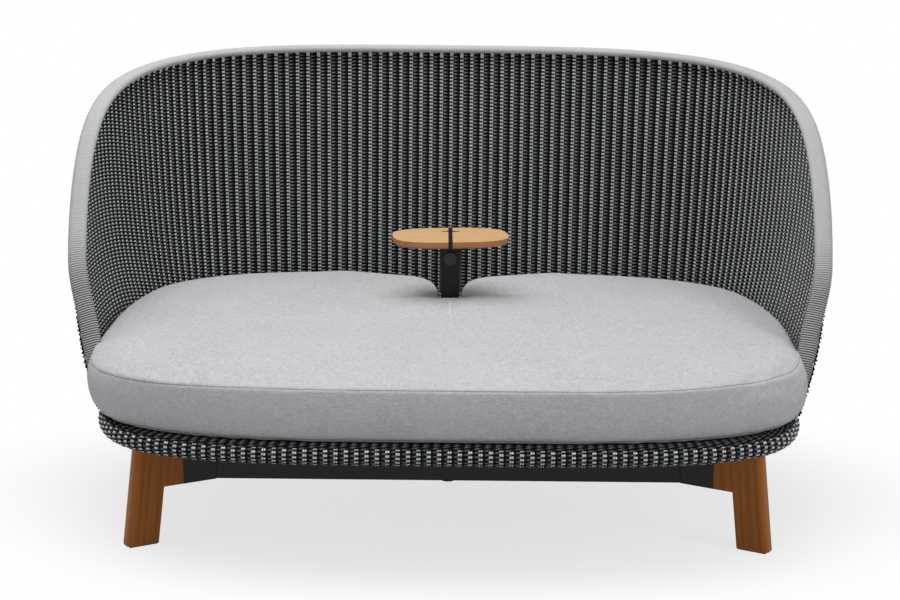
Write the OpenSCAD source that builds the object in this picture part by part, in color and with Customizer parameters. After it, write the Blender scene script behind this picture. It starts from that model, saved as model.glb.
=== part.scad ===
// Outdoor daybed with a woven bucket back, one boxed seat cushion,
// splayed timber legs and a small swivel table on a centre post.
// Sizes are in mm. X runs to the right, Y to the back and Z up.
// The floor is z = 0, and the origin is the middle of the footprint.

/* [Seat pan] */
// Half width of the woven seat pan
pan_half_width = 732; // [650:1:800]
// Reach of the pan in front of its centre
pan_front = 462; // [400:1:560]
// Reach of the pan behind its centre
pan_back = 584; // [500:1:640]
// Squareness of the pan seen from above
pan_square = 4; // [2.4:0.1:5]
// Width of the woven pan edge
pan_edge_width = 50; // [44:1:70]
// Height of the woven pan edge
pan_edge_height = 44; // [34:1:60]
// Roundness of the outer pan edge
pan_edge_round = 20; // [8:1:24]
// Radius of the steel ring inside the pan edge
ring_radius = 10; // [7:0.5:13]
// Thickness of the woven deck panel
deck_thickness = 12; // [8:1:20]

/* [Back shell] */
// Thickness of the woven shell
shell_thickness = 8; // [5:0.5:14]
// How far the sides swell out just above the pan
side_swell = 84; // [50:1:110]
// How far the back swells out just above the pan
back_swell = 12; // [5:1:60]
// Outward lean of the sides
side_lean = 0.002; // [0:0.001:0.1]
// Outward lean of the back
back_lean = 0.06; // [0.03:0.005:0.15]
// Height over which the shell swells out
swell_height = 175; // [90:5:220]
// Height of the rim at the rear corners
rim_corner_height = 947; // [800:1:1000]
// Extra rim height in the middle of the back
rim_crown = 2; // [0:1:40]
// Height of the lower rim ends
rim_end_height = 292; // [285:1:330]
// Distance of the lower rim ends in front of the pan centre
rim_end_front = 144; // [100:1:300]

/* [Rim] */
// Width of the bound rim
rim_width = 40; // [30:1:52]
// Thickness of the bound rim
rim_thickness = 18; // [14:1:28]
// Thickness of the cord binding
binding_thickness = 4; // [3:0.5:5]
// Wall of the flattened rim tube
rim_tube_wall = 2; // [1.2:0.1:2.5]
// Distance of the rim centre inside the shell along the top
rim_inset_top = 8; // [0:1:16]
// Distance of the rim centre inside the shell at its lower ends
rim_inset_end = 24; // [12:1:28]

/* [Cushion] */
// Half width of the cushion
cushion_half_width = 749; // [660:1:820]
// Reach of the cushion in front of the pan centre
cushion_front = 442; // [380:1:540]
// Reach of the cushion behind the pan centre
cushion_back = 587; // [500:1:650]
// Squareness of the cushion seen from above
cushion_square = 3.6; // [2.4:0.1:5]
// Height of the boxed side between the two edge seams
cushion_height = 111; // [80:1:160]
// Rise of the cushion top over its edge seam
cushion_crown = 18; // [4:1:30]
// Half width of the mouth of the notch at the back
notch_mouth = 225; // [120:5:300]
// Space between the cushion and the post
notch_clearance = 5; // [3:0.5:10]

/* [Base] */
// Height of the underside of the beams above the floor
beam_bottom = 125; // [90:1:150]
// Height of the beams
beam_height = 103; // [60:1:120]
// Width of the beams and arms
beam_width = 40; // [30:1:60]
// Wall of the steel tubes
tube_wall = 3; // [2:0.5:5]
// Half length of the two long beams
beam_half_length = 490; // [380:1:520]
// Front beam distance in front of the pan centre
front_beam_offset = 128; // [80:1:200]
// Rear beam distance behind the pan centre
rear_beam_offset = 310; // [260:1:380]
// Angle of the corner arms to the beams
arm_angle = 28.5; // [15:0.5:40]
// Length of each corner arm
arm_length = 84; // [60:1:120]
// Width of the rails under the deck
rail_width = 44; // [36:1:60]
// Height of the rails under the deck
rail_height = 27; // [20:1:34]
// Distance of the side rails from the beam ends
rail_inset = 130; // [80:5:200]
// Width of the deck bearers
bearer_width = 30; // [20:1:40]

/* [Legs] */
// Width of each leg along its arm
leg_width = 68; // [50:1:85]
// Thickness of each leg across its arm
leg_thickness = 40; // [28:1:40]
// Outward lean of each leg
leg_splay = 7; // [2:0.5:12]
// Length of the timber stub between arm and leg
stub_length = 43; // [20:1:60]
// Radius of the round outer edges of the legs
leg_round = 14; // [3:1:14]
// Thickness of the glides under the legs
glide_thickness = 4; // [2:0.5:8]
// Radius of the leg bolts
leg_bolt_radius = 4; // [3:0.5:5]
// Length of the leg bolts inside the timber
leg_bolt_length = 60; // [40:1:80]

/* [Post] */
// Distance of the post behind the pan centre
post_offset = 218; // [190:1:240]
// Radius of the post
post_radius = 20.5; // [16:0.5:24]
// Radius of the floor support inside the post
support_radius = 16; // [10:0.5:17.5]
// Height of the top of the post
post_top = 550; // [480:1:600]
// Thickness of the rubber foot under the support
foot_thickness = 6; // [3:0.5:12]
// Running clearance of the turning sleeve on the post
run_clearance = 0.05; // [0.02:0.01:0.1]
// Thickness of the bushes between post and sleeve
bush_wall = 1; // [0.8:0.1:2]
// Height of the bushes
bush_height = 12; // [8:1:20]
// Wall of the turning sleeve
sleeve_wall = 3; // [2:0.5:5]
// Length of the turning sleeve below the post top
sleeve_drop = 103; // [70:1:110]
// Thickness of the closed sleeve top
sleeve_cap = 8; // [4:1:14]
// Thickness of the thrust washer on the post
washer_thickness = 2; // [1:0.5:4]
// Distance of the lock knob below the post top
knob_drop = 19; // [17:1:40]
// Radius of the lock knob
knob_radius = 14.5; // [10:0.5:20]
// Length of the lock knob
knob_length = 14; // [8:1:24]
// Radius of the lock knob stud
stud_radius = 3; // [2:0.5:4]

/* [Table] */
// Half length of the oval table
table_half_length = 130; // [90:1:170]
// Half depth of the oval table
table_half_depth = 80; // [55:1:100]
// Squareness of the oval table
table_square = 3; // [2:0.1:4]
// Thickness of the table halves
table_thickness = 15; // [10:1:24]
// Rounding below the table edge
table_under_round = 4; // [1:0.5:6]
// Turn of the oval to the bar between its halves
table_turn = 7; // [0:1:15]
// Width of the bar between the table halves
bar_width = 9; // [6:0.5:14]
// Length of the key across the bar
key_length = 36; // [24:1:50]
// Width of the key across the bar
key_width = 4; // [3:0.5:8]
// Depth of the key in the table
key_depth = 6; // [4:0.5:9]
// Distance of the key behind the table centre
key_offset = 40; // [38:1:50]
// Radius of the flange under the table
flange_radius = 34; // [30:1:45]
// Thickness of the flange under the table
flange_thickness = 3; // [2:0.5:6]
// Radius of the table screws
screw_radius = 2; // [1.5:0.5:3]
// Depth of the table screws in the timber
screw_depth = 9; // [6:0.5:9]

/* [Hidden] */
// space between pieces that only lie close
gap = 0.3;
// steps round the pan, and between the rim ends
pan_step = 4;
rim_step = 3;
pan_turns = [for (t = [-180:pan_step:180 - pan_step]) t];
// the swell starts at the middle of the pan edge
swell_power = 1.2;
rail_bottom = beam_bottom + beam_height;
rail_offset = beam_half_length - rail_inset;
pan_bottom = rail_bottom + rail_height;
pan_top = pan_bottom + pan_edge_height;
pan_middle = (pan_bottom + pan_top) / 2;
shell_bottom = pan_middle - 6;
cushion_bottom = pan_top + 2 * gap;
seam_height = cushion_bottom + cushion_height;
rim_drop = rim_corner_height - rim_end_height;
// the whole object is centred on the origin
shell_start = gap + shell_thickness / 2;
rim_top = rim_corner_height + rim_crown;
back_reach = pan_back + shell_start + back_swell + back_lean * (rim_top - shell_bottom)
  - rim_inset_top + rim_width / 2;
seat_y = (pan_front - back_reach) / 2;
post_y = seat_y + post_offset;
front_beam_y = seat_y - front_beam_offset;
rear_beam_y = seat_y + rear_beam_offset;
front_bearer_y = front_beam_y - 1.2 * beam_width - 3 * bearer_width;
rear_bearer_y = rear_beam_y + beam_width / 2 + 2 * bearer_width;
// turning head
bush_outer = post_radius + run_clearance + bush_wall;
sleeve_bore = bush_outer + 0.02;
sleeve_radius = sleeve_bore + sleeve_wall;
sleeve_bottom = post_top - sleeve_drop;
sleeve_inside_top = post_top + washer_thickness + 0.05;
sleeve_top = sleeve_inside_top + sleeve_cap;
knob_z = post_top - knob_drop;
table_bottom = sleeve_top + flange_thickness;
table_top = table_bottom + table_thickness;

// Plan outlines. Turn 0 is the back centre, 90 the right side, 180 the front.
function sign_of(v) = v < 0 ? -1 : 1;
function oval_radius(t, w, d, n) =
  pow(pow(abs(sin(t)) / w, n) + pow(abs(cos(t)) / d, n), -1 / n);
function pan_depth(t) = cos(t) > 0 ? pan_back : pan_front;
function pan_raw(t) =
  oval_radius(t, pan_half_width, pan_depth(t), pan_square) * [sin(t), cos(t)];
function pan_slope(p, d) = [
  sign_of(p[0]) * pow(abs(p[0]) / pan_half_width, pan_square - 1) / pan_half_width,
  sign_of(p[1]) * pow(abs(p[1]) / d, pan_square - 1) / d];
function pan_normal(t) = let (g = pan_slope(pan_raw(t), pan_depth(t))) g / norm(g);
function pan_point(t, out) = pan_raw(t) + [0, seat_y] + out * pan_normal(t);
function pan_outline(out) = [for (t = pan_turns) pan_point(-t, out)];

// Shell surface, rim height and rim centre line
function side_share(t) = pow(abs(pan_normal(t)[0]), 1.5);
function swell(t, h) = let (k = side_share(t))
  (back_swell + (side_swell - back_swell) * k) * (1 - exp(-pow(h / swell_height, swell_power)))
  + (back_lean + (side_lean - back_lean) * k) * h;
function shell_point(t, z, out) =
  let (p = pan_point(t, shell_start + swell(t, max(0, z - shell_bottom)) + out)) [p[0], p[1], z];
function rim_share(t) =
  (pan_back - pan_raw(t)[1]) / (pan_back + rim_end_front);
function rim_fall(v) = (0.241 + (0.273 + 0.486 * v) * v) * v;
function rim_height(t) = rim_corner_height - rim_drop * rim_fall(rim_share(t))
  + rim_crown * (1 - pow(pan_raw(t)[0] / pan_half_width, 2));
function ease(v) = let (k = min(1, max(0, v))) k * k * (3 - 2 * k);
function rim_inset(z) = rim_inset_top
  + (rim_inset_end - rim_inset_top) * ease((seam_height + 150 - z) / 140);
function rim_center(t) = let (z = rim_height(t)) shell_point(t, z, -rim_inset(z));
function along(t) = let (d = rim_center(t + 0.5) - rim_center(t - 0.5)) d / norm(d);
function across(t) = let (n = pan_normal(t), a = along(t), v = [n[0], n[1], 0],
  w = v - (v * a) * a) w / norm(w);
function oval_section(w, h, n, sides) = [for (k = [0:sides - 1]) let (a = 360 * k / sides,
  r = pow(pow(abs(cos(a)) / w, n) + pow(abs(sin(a)) / h, n), -1 / n)) [r * cos(a), r * sin(a)]];
function rim_ring(t, section) = let (c = rim_center(t), e = across(t), f = cross(along(t), e))
  [for (s = section) c + s[0] * e + s[1] * f];
rim_last = [for (t = [90:0.5:150]) if (pan_raw(t)[1] < -rim_end_front) t][0];
rim_count = round(2 * rim_last / rim_step);
rim_turns = [for (k = [0:rim_count]) -rim_last + 2 * rim_last * k / rim_count];
function rim_rings(shrink, sides) = [for (t = rim_turns)
  rim_ring(t, oval_section(rim_width / 2 - shrink, rim_thickness / 2 - shrink, 2.8, sides))];

// Skins over rings of points
function ring_faces(n, a, b, flip) = [for (k = [0:n - 1]) let (j = (k + 1) % n)
  each (flip ? [[a + k, a + j, b + k], [a + j, b + j, b + k]]
    : [[a + k, b + k, a + j], [a + j, b + k, b + j]])];
module closed_loop(rings) {
  n = len(rings[0]);
  m = len(rings);
  polyhedron([for (r = rings) each r],
    [for (i = [0:m - 1]) each ring_faces(n, i * n, ((i + 1) % m) * n, false)]);
}
module capped_skin(rings) {
  n = len(rings[0]);
  m = len(rings);
  polyhedron([for (r = rings) each r], concat(
    [for (i = [0:m - 2]) each ring_faces(n, i * n, (i + 1) * n, false)],
    [[for (k = [0:n - 1]) k]], [[for (k = [0:n - 1]) m * n - 1 - k]]));
}
module hollow_skin(outer, inner) {
  n = len(outer[0]);
  m = len(outer);
  s = n * m;
  polyhedron(concat([for (r = outer) each r], [for (r = inner) each r]), concat(
    [for (i = [0:m - 2]) each ring_faces(n, i * n, (i + 1) * n, false)],
    [for (i = [0:m - 2]) each ring_faces(n, s + i * n, s + (i + 1) * n, true)],
    ring_faces(n, 0, s, true), ring_faces(n, (m - 1) * n, s + (m - 1) * n, false)));
}

// Seat pan
function edge_section(grow) = let (h = pan_edge_height / 2) concat(
  [for (a = [-90:22.5:90]) [grow - pan_edge_round * (1 - cos(a)), (h + grow) * sin(a)]],
  [[-pan_edge_width - grow, h + grow], [-pan_edge_width - grow, -h - grow]]);
function pan_ring(t, section) = [for (s = section)
  let (p = pan_point(t, s[0])) [p[0], p[1], pan_middle + s[1]]];
module pan_block(grow) {
  closed_loop([for (t = pan_turns) pan_ring(t, edge_section(grow))]);
}
module ring_loop(radius) {
  closed_loop([for (t = pan_turns) pan_ring(t, [for (a = [0:45:315])
    [-pan_edge_width / 2 + radius * cos(a), radius * sin(a)]])]);
}
module inside_pan(bottom, top) {
  translate([0, 0, bottom])
    linear_extrude(top - bottom) polygon(pan_outline(-pan_edge_width - gap));
}
module pan_weave() {
  color([0.16, 0.17, 0.18])
    difference() {
      pan_block(0);
      ring_loop(ring_radius + gap);
    }
}
module seat_ring() {
  color([0.1, 0.1, 0.11]) ring_loop(ring_radius);
}
module seat_deck() {
  color([0.2, 0.21, 0.22])
    difference() {
      inside_pan(pan_top - deck_thickness, pan_top);
      post_hole(pan_top - deck_thickness, pan_top);
    }
}

// Back shell
shell_levels = 9;
function shell_column(t, out) = [for (k = [0:shell_levels])
  shell_point(t, shell_bottom + (rim_height(t) - shell_bottom) * k / shell_levels, out)];
function shell_ring(t) = let (h = shell_thickness / 2,
  front = shell_column(t, -h), back = shell_column(t, h))
  concat(back, [for (k = [shell_levels:-1:0]) front[k]]);
module rim_block(grow) {
  capped_skin(rim_rings(-grow, 12));
}
module back_weave() {
  color([0.16, 0.17, 0.18])
    difference() {
      capped_skin([for (t = rim_turns) shell_ring(t)]);
      rim_block(gap);
      pan_block(gap);
    }
}
module rim_binding() {
  color([0.68, 0.69, 0.7])
    difference() {
      hollow_skin(rim_rings(0, 12), rim_rings(binding_thickness, 12));
      pan_block(gap);
    }
}
module rim_tube() {
  color([0.1, 0.1, 0.11])
    difference() {
      hollow_skin(rim_rings(binding_thickness + gap / 2, 12),
        rim_rings(binding_thickness + gap / 2 + rim_tube_wall, 12));
      pan_block(gap);
    }
}

// Cushion with a crowned top, drawn-in edges and a notch round the post
notch_radius = post_radius + notch_clearance;
cushion_center = [0, seat_y - 70];
function notch_side(y) = notch_radius
  + (notch_mouth - notch_radius) * pow((y - post_offset) / (cushion_back - post_offset), 2.8);
function cushion_edge(t) = oval_radius(t, cushion_half_width,
  cos(t) > 0 ? cushion_back : cushion_front, cushion_square) * [sin(t), cos(t)];
mouth_turn = atan2(notch_mouth, cushion_back);
half_outline = concat(
  [for (a = [0:30:60]) [notch_radius * sin(a), post_offset - notch_radius * cos(a)]],
  [for (k = [0:7]) let (y = post_offset + (cushion_back - post_offset) * k / 7.6)
    [notch_side(y), y]],
  [for (k = [0:36]) cushion_edge(mouth_turn + 4 + (176 - mouth_turn) * k / 36)]);
cushion_outline = concat([for (p = half_outline) [-p[0], p[1]]],
  [for (k = [len(half_outline) - 2:-1:1]) half_outline[k]]);
function cushion_ring(scale_by, z) = [for (p = cushion_outline)
  let (q = cushion_center + (p + [0, seat_y] - cushion_center) * scale_by) [q[0], q[1], z]];
function crown_height(k) = seam_height + cushion_crown * (1 - pow(k, 4));
module cushion_body() {
  sides = [[0.976, 0], [0.988, 0.1], [0.996, 0.4], [1, 0.7], [0.998, 0.93], [0.992, 1]];
  capped_skin(concat(
    [for (s = sides) cushion_ring(s[0], cushion_bottom + cushion_height * s[1])],
    [for (k = [0.97, 0.92, 0.82, 0.66, 0.42, 0.15]) cushion_ring(k, crown_height(k))]));
}
module seat_cushion() {
  color([0.8, 0.81, 0.83])
    difference() {
      cushion_body();
      rim_block(3 * gap);
    }
}

// Base
module at_corner(side, rear) {
  y = rear ? rear_beam_y : front_beam_y;
  translate([side * beam_half_length, y, 0])
    mirror([side < 0 ? 1 : 0, 0, 0]) mirror([0, rear ? 1 : 0, 0])
      rotate([0, 0, -arm_angle]) children();
}
module box_tube(size_x, size_y, height) {
  difference() {
    translate([-size_x / 2, -size_y / 2, 0]) cube([size_x, size_y, height]);
    translate([-size_x / 2 - 1, -size_y / 2 + tube_wall, tube_wall])
      cube([size_x + 2, size_y - 2 * tube_wall, height - 2 * tube_wall]);
  }
}
module beam(y) {
  color([0.09, 0.09, 0.1])
    difference() {
      translate([0, y, beam_bottom]) box_tube(2 * beam_half_length, beam_width, beam_height);
      for (x = [-rail_offset, 0, rail_offset]) rail_bolt_holes(x, y);
    }
}
module front_beam() {
  beam(front_beam_y);
}
module rear_beam() {
  beam(rear_beam_y);
}
module post_hole(bottom, top) {
  translate([0, post_y, bottom - 1]) cylinder(h = top - bottom + 2, r = post_radius + gap, $fn = 96);
}
module center_cross() {
  front = front_beam_y + beam_width / 2;
  length = rear_beam_y - beam_width / 2 - front;
  height = beam_height / 2;
  color([0.09, 0.09, 0.1])
    difference() {
      translate([-rail_width, front, rail_bottom - height])
        cube([2 * rail_width, length, height]);
      translate([tube_wall - rail_width, front - 1, rail_bottom - height + tube_wall])
        cube([rail_width - tube_wall - post_radius - 2 * tube_wall, length + 2,
          height - 2 * tube_wall]);
      translate([post_radius + 2 * tube_wall, front - 1, rail_bottom - height + tube_wall])
        cube([rail_width - tube_wall - post_radius - 2 * tube_wall, length + 2,
          height - 2 * tube_wall]);
      post_hole(rail_bottom - height, rail_bottom);
    }
}
// Corner arms, each mitred to its beam end, with a plate for the leg bolts
bolt_heights = [beam_bottom + beam_height / 4, beam_bottom + beam_height * 3 / 4];
module arm(side, rear) {
  color([0.09, 0.09, 0.1])
    at_corner(side, rear)
      difference() {
        translate([-beam_width, -beam_width / 2, beam_bottom])
          cube([arm_length + beam_width, beam_width, beam_height]);
        translate([-beam_width - 1, tube_wall - beam_width / 2, beam_bottom + tube_wall])
          cube([arm_length + beam_width + 1 - 2 * tube_wall, beam_width - 2 * tube_wall,
            beam_height - 2 * tube_wall]);
        rotate([0, 0, arm_angle]) translate([-3 * beam_width, -2 * beam_width, 0])
          cube([3 * beam_width, 4 * beam_width, rail_bottom + 1]);
        for (z = bolt_heights)
          translate([arm_length - 3 * tube_wall, 0, z]) rotate([0, 90, 0])
            cylinder(h = 4 * tube_wall, r = leg_bolt_radius + gap, $fn = 32);
      }
}
module arm_front_left() {
  arm(-1, false);
}
module arm_front_right() {
  arm(1, false);
}
module arm_rear_left() {
  arm(-1, true);
}
module arm_rear_right() {
  arm(1, true);
}
// Legs: each is one angled timber piece, a stub on the arm and a splayed leg
leg_top = pan_bottom - gap;
leg_inner_top = arm_length + stub_length + beam_bottom * tan(leg_splay) - leg_top * tan(leg_splay);
leg_foot = arm_length + stub_length + (beam_bottom - glide_thickness) * tan(leg_splay);
module leg_shape() {
  polygon([[arm_length, beam_bottom], [arm_length + stub_length, beam_bottom],
    [leg_foot, glide_thickness], [leg_foot + leg_width, glide_thickness],
    [leg_inner_top + leg_width, leg_top], [arm_length, leg_top]]);
}
// Cuts one upright edge to a rounding of flat facets; its ends reach past the faces
module round_edge() {
  r = leg_round;
  arc = [for (a = [0:15:90]) [r * cos(a) - r, r * sin(a) - r]];
  first = 1.5 * arc[0] - 0.5 * arc[1];
  last = 1.5 * arc[6] - 0.5 * arc[5];
  linear_extrude(leg_top + 100) polygon(concat([[3, 3], [3, first[1]], first],
    [for (k = [1:5]) arc[k]], [last, [last[0], 3]]));
}
module leg(side, rear) {
  color([0.55, 0.35, 0.19])
    at_corner(side, rear)
      difference() {
        translate([0, leg_thickness / 2, 0]) rotate([90, 0, 0])
          linear_extrude(leg_thickness) leg_shape();
        for (k = [0, 1])
          translate([leg_foot + leg_width, 0, glide_thickness]) rotate([0, -leg_splay, 0])
            mirror([0, k, 0]) translate([0, leg_thickness / 2, -50]) round_edge();
        for (z = bolt_heights)
          translate([arm_length - 1, 0, z]) rotate([0, 90, 0])
            cylinder(h = leg_bolt_length + 2, r = leg_bolt_radius + gap / 3, $fn = 32);
      }
}
module leg_front_left() {
  leg(-1, false);
}
module leg_front_right() {
  leg(1, false);
}
module leg_rear_left() {
  leg(-1, true);
}
module leg_rear_right() {
  leg(1, true);
}
module each_corner() {
  for (side = [-1, 1])
    for (rear = [false, true]) at_corner(side, rear) children();
}
module leg_bolts() {
  head = 2 * leg_bolt_radius - 1;
  color([0.6, 0.6, 0.62])
    each_corner()
      for (z = bolt_heights)
        translate([arm_length - 2 * tube_wall, 0, z]) rotate([0, 90, 0]) {
          cylinder(h = leg_bolt_length, r = leg_bolt_radius, $fn = 32);
          translate([0, 0, -leg_bolt_radius]) cylinder(h = leg_bolt_radius, r = head, $fn = 6);
        }
}
module leg_glides() {
  color([0.08, 0.08, 0.08])
    each_corner()
      translate([leg_foot + gap, leg_round / 2 - leg_thickness / 2, 0])
        cube([leg_width - leg_round / 2 - gap, leg_thickness - leg_round, glide_thickness]);
}
// Rails along Y on the beams, bearers along X on the rails
module rail_body(x) {
  front = front_bearer_y - bearer_width;
  length = rear_bearer_y + bearer_width - front;
  difference() {
    translate([x - rail_width / 2, front, rail_bottom]) cube([rail_width, length, rail_height]);
    translate([x - rail_width / 2 + tube_wall, front - 1, rail_bottom + tube_wall])
      cube([rail_width - 2 * tube_wall, length + 2, rail_height - 2 * tube_wall]);
    for (y = [front_beam_y, rear_beam_y]) rail_bolt_holes(x, y);
  }
}
rail_bolt_radius = 4;
module rail_bolt_holes(x, y) {
  translate([x, y, rail_bottom - 2 * tube_wall])
    cylinder(h = rail_height + 3 * tube_wall, r = rail_bolt_radius + gap / 3, $fn = 32);
}
module left_rail() {
  color([0.1, 0.1, 0.11]) rail_body(-rail_offset);
}
module right_rail() {
  color([0.1, 0.1, 0.11]) rail_body(rail_offset);
}
module center_rail() {
  color([0.1, 0.1, 0.11])
    difference() {
      rail_body(0);
      post_hole(rail_bottom, pan_bottom);
    }
}
module rail_bolts() {
  color([0.6, 0.6, 0.62])
    for (x = [-rail_offset, 0, rail_offset])
      for (y = [front_beam_y, rear_beam_y])
        translate([x, y, rail_bottom - tube_wall - rail_bolt_radius]) {
          cylinder(h = rail_height + tube_wall + rail_bolt_radius, r = rail_bolt_radius, $fn = 32);
          translate([0, 0, rail_height + tube_wall + rail_bolt_radius])
            cylinder(h = rail_bolt_radius, r = 1.7 * rail_bolt_radius, $fn = 6);
        }
}
module bearer(y) {
  color([0.1, 0.1, 0.11])
    intersection() {
      inside_pan(pan_bottom, pan_top - deck_thickness);
      translate([-pan_half_width, y - bearer_width / 2, pan_bottom])
        cube([2 * pan_half_width, bearer_width, pan_edge_height - deck_thickness]);
    }
}
module front_bearer() {
  bearer(front_bearer_y);
}
module middle_bearer() {
  bearer((front_beam_y + post_y) / 2);
}
module rear_bearer() {
  bearer(rear_bearer_y);
}

// Centre post and its floor support
module post_tube() {
  color([0.07, 0.07, 0.08])
    translate([0, post_y, beam_bottom])
      difference() {
        cylinder(h = post_top - beam_bottom, r = post_radius, $fn = 96);
        translate([0, 0, -1])
          cylinder(h = post_top - beam_bottom + 2, r = support_radius + gap / 3, $fn = 96);
      }
}
module post_support() {
  color([0.07, 0.07, 0.08])
    translate([0, post_y, foot_thickness])
      cylinder(h = rail_bottom - foot_thickness, r = support_radius, $fn = 96);
}
module post_foot() {
  color([0.05, 0.05, 0.05])
    translate([0, post_y, 0]) cylinder(h = foot_thickness, r = support_radius, $fn = 96);
}

// Turning table head
module knob_hole(radius) {
  translate([0, post_y, knob_z]) rotate([90, 0, 0])
    cylinder(h = sleeve_radius + 5, r = radius, $fn = 48);
}
module table_sleeve() {
  color([0.07, 0.07, 0.08])
    difference() {
      translate([0, post_y, sleeve_bottom])
        cylinder(h = sleeve_top - sleeve_bottom, r = sleeve_radius, $fn = 96);
      translate([0, post_y, sleeve_bottom - 1])
        cylinder(h = sleeve_inside_top - sleeve_bottom + 1, r = sleeve_bore, $fn = 96);
      knob_hole(stud_radius + run_clearance);
    }
}
module bush(bottom) {
  color([0.85, 0.85, 0.82])
    translate([0, post_y, bottom])
      difference() {
        cylinder(h = bush_height, r = bush_outer, $fn = 96);
        translate([0, 0, -1]) cylinder(h = bush_height + 2, r = post_radius + run_clearance, $fn = 96);
      }
}
module lower_bush() {
  bush(sleeve_bottom);
}
module upper_bush() {
  bush(post_top - bush_height - gap);
}
module thrust_washer() {
  color([0.85, 0.85, 0.82])
    translate([0, post_y, post_top])
      difference() {
        cylinder(h = washer_thickness, r = post_radius, $fn = 96);
        translate([0, 0, -1]) cylinder(h = washer_thickness + 2, r = post_radius / 2, $fn = 96);
      }
}
module table_flange() {
  color([0.07, 0.07, 0.08])
    difference() {
      translate([0, post_y, sleeve_top]) cylinder(h = flange_thickness, r = flange_radius, $fn = 96);
      screw_places() translate([0, 0, sleeve_top - 1])
        cylinder(h = flange_thickness + 2, r = screw_radius + gap / 3, $fn = 24);
    }
}
module screw_places() {
  inset = (flange_radius + sleeve_radius) / 2;
  for (a = [30, 150, 210, 330])
    translate([inset * cos(a), post_y + inset * sin(a), 0]) children();
}
module table_screws() {
  color([0.6, 0.6, 0.62])
    screw_places() {
      translate([0, 0, sleeve_top - screw_radius])
        cylinder(h = screw_radius, r = 1.8 * screw_radius, $fn = 24);
      translate([0, 0, sleeve_top])
        cylinder(h = flange_thickness + screw_depth, r = screw_radius, $fn = 24);
    }
}
bar_half_length = table_half_depth;
module table_bar() {
  color([0.07, 0.07, 0.08])
    difference() {
      translate([-bar_width / 2, post_y - bar_half_length, table_bottom])
        cube([bar_width, 2 * bar_half_length, table_thickness + 1]);
      key_slot(key_width / 2);
    }
}
module key_slot(half) {
  translate([-key_length, post_y + key_offset - half, table_top - key_depth])
    cube([2 * key_length, 2 * half, 2 * key_depth]);
}
module table_key() {
  color([0.07, 0.07, 0.08])
    translate([-key_length / 2, post_y + key_offset - key_width / 2, table_top - key_depth])
      cube([key_length, key_width, key_depth]);
}
function table_outline(inset) = [for (t = [0:4:356])
  oval_radius(t, table_half_length - inset, table_half_depth - inset, table_square)
    * [cos(t + 90), sin(t + 90)] * 1];
module oval_plate(inset, bottom, top) {
  translate([0, post_y, bottom]) rotate([0, 0, table_turn])
    linear_extrude(top - bottom) polygon(table_outline(inset));
}
module table_half(side) {
  color([0.75, 0.55, 0.34])
    difference() {
      union() {
        oval_plate(0, table_bottom + table_under_round, table_top);
        oval_plate(table_under_round / 2, table_bottom + table_under_round / 2,
          table_bottom + table_under_round);
        oval_plate(table_under_round, table_bottom, table_bottom + table_under_round / 2);
      }
      translate([side > 0 ? -2 * table_half_length : -bar_width / 2 - gap / 3,
        post_y - table_half_length, table_bottom - 1])
        cube([2 * table_half_length + bar_width / 2 + gap / 3, 2 * table_half_length,
          table_thickness + 2]);
      translate([-key_length / 2 - gap / 3, post_y + key_offset - key_width / 2 - gap / 3,
        table_top - key_depth])
        cube([key_length + gap, key_width + 2 * gap / 3, 2 * key_depth]);
      screw_places() translate([0, 0, table_bottom - 1])
        cylinder(h = screw_depth + 2, r = screw_radius + gap / 3, $fn = 24);
    }
}
module table_left() {
  table_half(-1);
}
module table_right() {
  table_half(1);
}
module lock_knob() {
  grips = 12;
  color([0.05, 0.05, 0.05])
    translate([0, post_y - sleeve_radius - gap, knob_z]) rotate([90, 0, 0])
      difference() {
        cylinder(h = knob_length, r = knob_radius, $fn = 72);
        for (k = [0:grips - 1])
          rotate([0, 0, k * 360 / grips]) translate([knob_radius + 1, 0, 3])
            cylinder(h = knob_length, r = 2, $fn = 24);
        translate([0, 0, -1]) cylinder(h = knob_length - 2, r = stud_radius, $fn = 48);
      }
}
module knob_stud() {
  color([0.6, 0.6, 0.62])
    translate([0, post_y - post_radius - gap, knob_z]) rotate([90, 0, 0])
      cylinder(h = sleeve_radius - post_radius + knob_length - 3, r = stud_radius, $fn = 48);
}

front_beam();
rear_beam();
center_cross();
arm_front_left();
arm_front_right();
arm_rear_left();
arm_rear_right();
leg_front_left();
leg_front_right();
leg_rear_left();
leg_rear_right();
leg_bolts();
leg_glides();
left_rail();
center_rail();
right_rail();
rail_bolts();
front_bearer();
middle_bearer();
rear_bearer();
seat_deck();
seat_ring();
pan_weave();
back_weave();
rim_tube();
rim_binding();
seat_cushion();
post_tube();
post_support();
post_foot();
table_sleeve();
lower_bush();
upper_bush();
thrust_washer();
table_flange();
table_bar();
table_key();
table_left();
table_right();
table_screws();
lock_knob();
knob_stud();
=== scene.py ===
# %% [markdown]
# # A woven daybed with a turning table
# This notebook dresses a finished CAD model. The model's bodies come in first and stay where they
# are; every cell after that adds one piece or one finish over them, in metres and in the same frame.

# %% Load the frame
import math
import bmesh
import bpy
from mathutils import Matrix, Vector, kdtree, noise


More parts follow.
